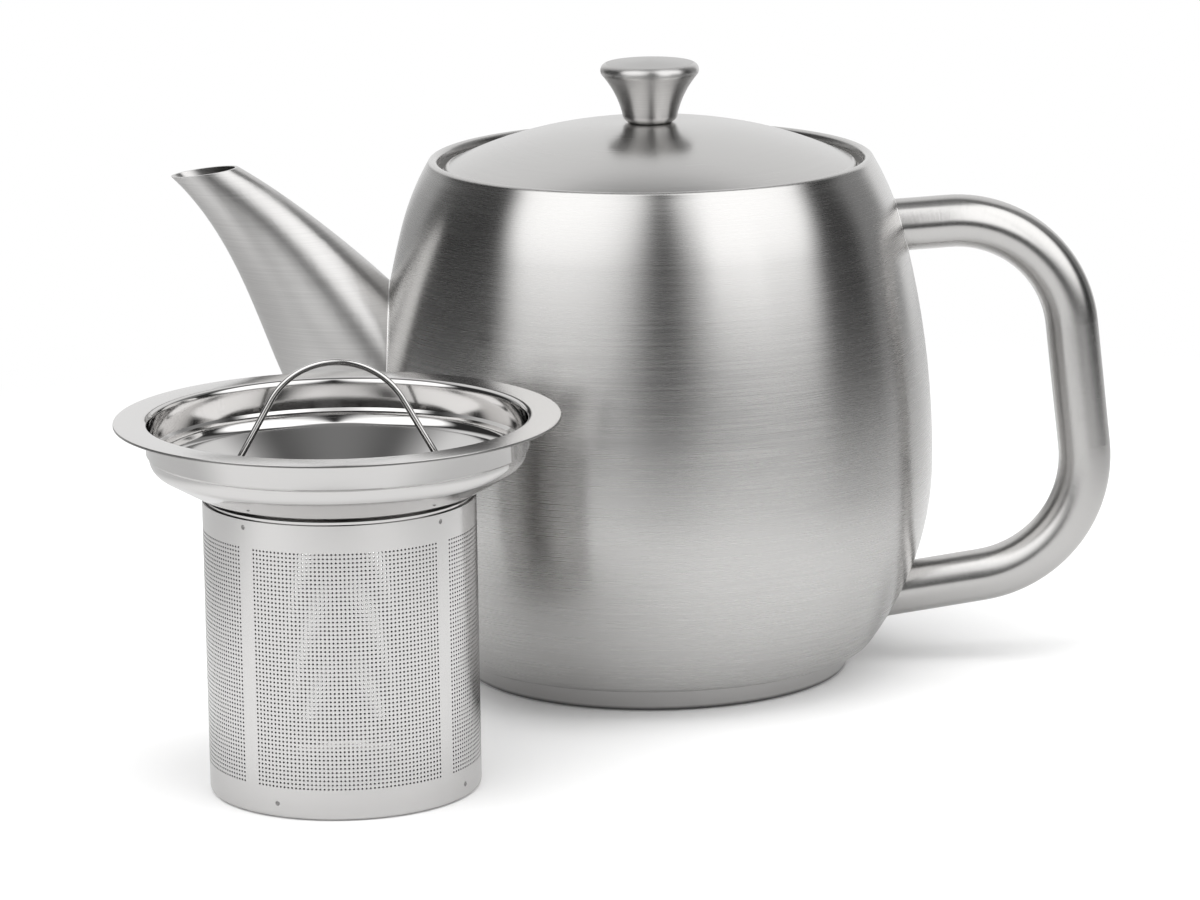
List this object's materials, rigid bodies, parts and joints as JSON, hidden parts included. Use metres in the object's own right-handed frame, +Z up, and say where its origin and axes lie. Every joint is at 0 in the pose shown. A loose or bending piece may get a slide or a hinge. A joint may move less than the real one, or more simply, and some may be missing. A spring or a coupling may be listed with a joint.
{
  "type": "teapot",
  "caption": "Brushed steel teapot with curved spout, tube handle and lift-off knobbed lid, beside its flanged infuser basket with a swinging wire bail.",
  "frame": {"origin": "centre of the pot's foot, on the table", "axes": "+Z up, +X towards the handle, -X towards the spout; the infuser stands on the table at -X, -Y"},
  "size_m": [0.2573, 0.2449, 0.1645],
  "materials": {
    "satin_steel": "fine horizontal satin brushing",
    "foot_steel": "polished",
    "vessel_steel": "drawn sheet, plain",
    "fixing_steel": "plain",
    "polished_steel": "mirror polished",
    "basket_steel": "bright perforated sheet"
  },
  "bodies": {
    "pot": {"outer_shell": "satin_steel", "inner_shell": "vessel_steel", "mouth_ring": "vessel_steel", "base_cap": "foot_steel", "spout_duct": "vessel_steel", "spout": "satin_steel", "handle_tube": "satin_steel"},
    "lid": {"lid_dome": "satin_steel", "lid_collar": "vessel_steel", "knob": "satin_steel", "knob_washer": "fixing_steel", "knob_screw": "fixing_steel"},
    "infuser": {"infuser_funnel": "polished_steel", "basket_wall": "basket_steel", "basket_bottom": "basket_steel"},
    "bail": {"bail_wire": "polished_steel"}
  },
  "joints": [
    {"name": "lid_lift", "type": "slide", "parent": "pot", "child": "lid", "axis": [0, 0, 1], "range_m": [0, 0.06]},
    {"name": "infuser_lift", "type": "slide", "parent": "pot", "child": "infuser", "axis": [0, 0, 1], "range_m": [0, 0.12]},
    {"name": "bail_swing", "type": "hinge", "parent": "infuser", "child": "bail", "pos_m": [-0.0791, -0.1148, 0.0723], "axis": [1, 0, 0], "range_deg": [-78, 78]}
  ]
}
